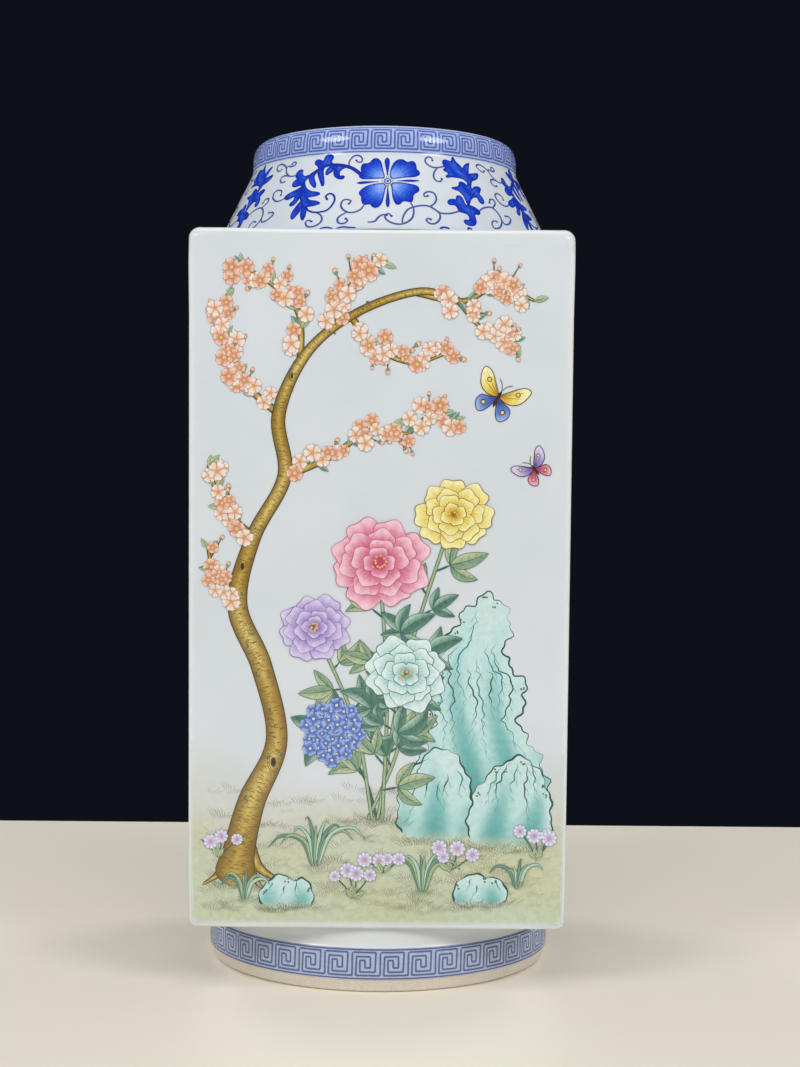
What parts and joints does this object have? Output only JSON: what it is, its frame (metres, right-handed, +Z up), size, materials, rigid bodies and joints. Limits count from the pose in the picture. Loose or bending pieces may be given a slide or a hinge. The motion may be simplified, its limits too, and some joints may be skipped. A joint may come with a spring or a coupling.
{
  "type": "cong vase",
  "caption": "Square slab-built porcelain vase with a conical round neck, rolled rim and round foot, glazed white and painted; holds cut flowers or stands as an ornament.",
  "frame": {"origin": "middle of the foot's resting plane, on the vase's axis", "axes": "+Z up along the vase's axis, -Y out of the painted front face, +X to the right seen from the front"},
  "size_m": [0.125, 0.125, 0.286],
  "materials": {
    "glazed_porcelain": "gloss",
    "unglazed_paste": "matte"
  },
  "bodies": {
    "root": {"front_slab": "glazed_porcelain", "right_slab": "glazed_porcelain", "back_slab": "glazed_porcelain", "left_slab": "glazed_porcelain", "floor_slab": "glazed_porcelain", "shoulder_slab": "glazed_porcelain", "neck": "glazed_porcelain", "foot_ring": "glazed_porcelain", "front_left_seam_strip": "unglazed_paste", "front_right_seam_strip": "unglazed_paste", "back_right_seam_strip": "unglazed_paste", "back_left_seam_strip": "unglazed_paste", "floor_seam_strips": "unglazed_paste", "shoulder_seam_strips": "unglazed_paste"}
  },
  "joints": []
}
